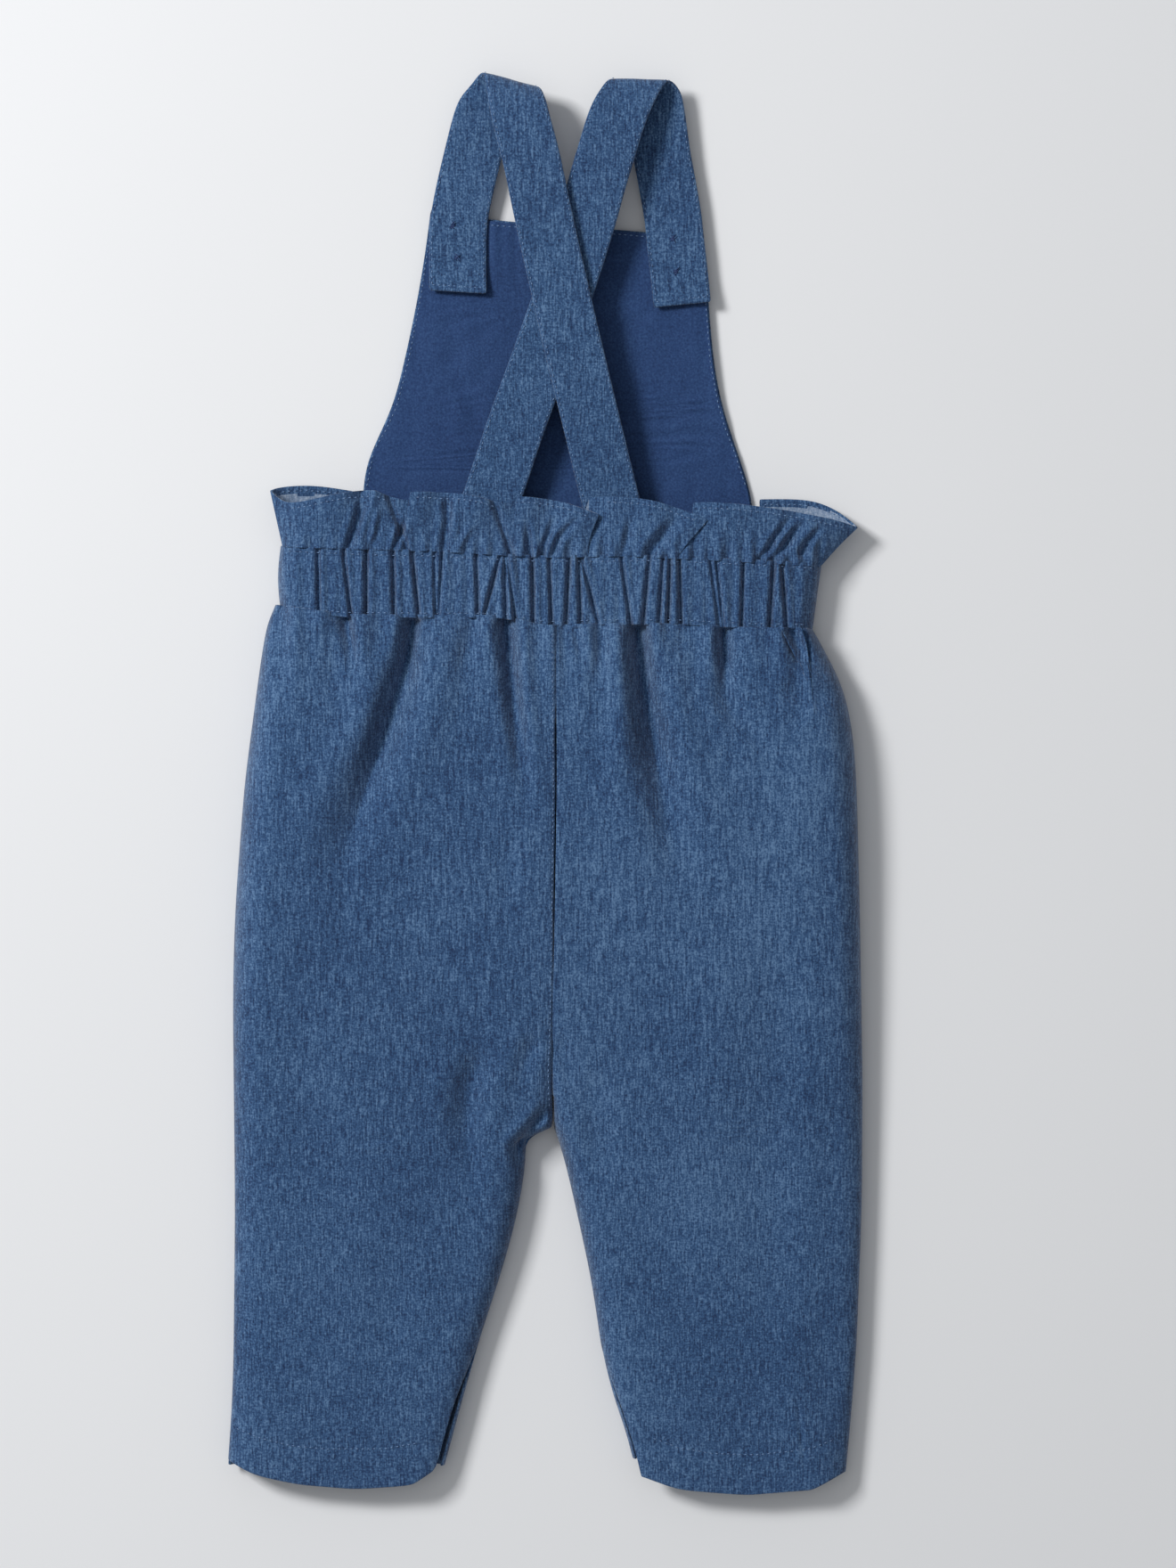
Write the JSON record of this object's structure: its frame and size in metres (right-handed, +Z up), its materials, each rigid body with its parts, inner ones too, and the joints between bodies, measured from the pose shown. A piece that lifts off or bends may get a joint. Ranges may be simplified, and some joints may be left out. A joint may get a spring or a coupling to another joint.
{
  "type": "kids dungarees laid flat, back side up",
  "caption": "Child's chambray dungarees laid flat, back up: elasticated paper-bag waist, crossed button straps and a lined bib.",
  "frame": {"origin": "centre of the bounding box's footprint, on the surface it lies on", "axes": "+X to the right with the back side up, +Y from the hems towards the shoulder straps, +Z up out of the surface"},
  "size_m": [0.2852, 0.6378, 0.0248],
  "materials": {
    "chambray": "blue chambray, slubby twill",
    "lining": "smooth crinkled cotton voile",
    "button": "matt dark blue"
  },
  "bodies": {
    "root": {"back_leg_left": "chambray", "back_leg_right": "chambray", "front_leg_left": "chambray", "front_leg_right": "chambray", "back_waistband": "chambray", "front_waistband": "chambray", "back_frill": "chambray", "front_frill_left": "chambray", "front_frill_right": "chambray", "bib_front": "chambray", "bib_lining": "lining", "strap_left": "chambray", "strap_right": "chambray", "button_left_upper": "button", "button_left_lower": "button", "button_right_upper": "button", "button_right_lower": "button"}
  },
  "joints": []
}
